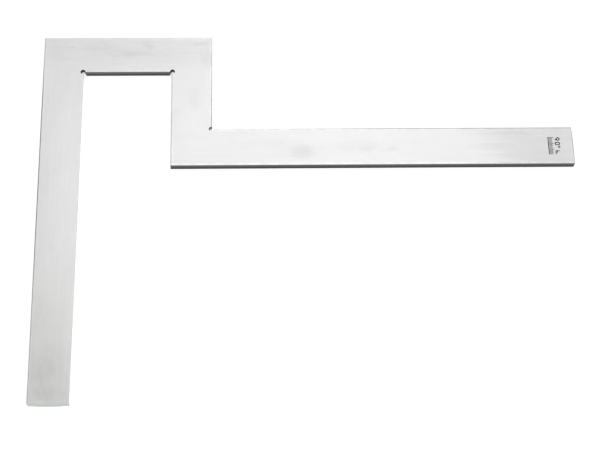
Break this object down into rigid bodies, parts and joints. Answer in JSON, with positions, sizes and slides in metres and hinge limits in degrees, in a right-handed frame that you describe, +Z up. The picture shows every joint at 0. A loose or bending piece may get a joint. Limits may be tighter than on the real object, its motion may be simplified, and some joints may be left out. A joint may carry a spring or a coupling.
{
  "type": "flange square",
  "caption": "Flat steel flange square with a cranked outline: a leg, a bridge over a square notch, a short limb and a long arm, with drilled corner reliefs and a filled marking.",
  "frame": {"origin": "where the lines of the two working edges cross, on the plate's underside: the leg's inner edge lies on x = 0, the arm's lower edge on y = 0, and the underside on z = 0", "axes": "+Z up out of the marked face, +X along the arm towards its free end, +Y from the arm's working edge towards the bridge over the notch; the leg runs towards -Y"},
  "size_m": [0.397, 0.295, 0.006],
  "materials": {
    "ground_steel": "fine ground faces, brushed along each limb, with dull hand marks",
    "mark_fill": "matte dark filling"
  },
  "bodies": {
    "root": {"square_plate": "ground_steel", "angle_numerals": "mark_fill", "right_angle_sign": "mark_fill", "millimetre_scale": "mark_fill"}
  },
  "joints": []
}
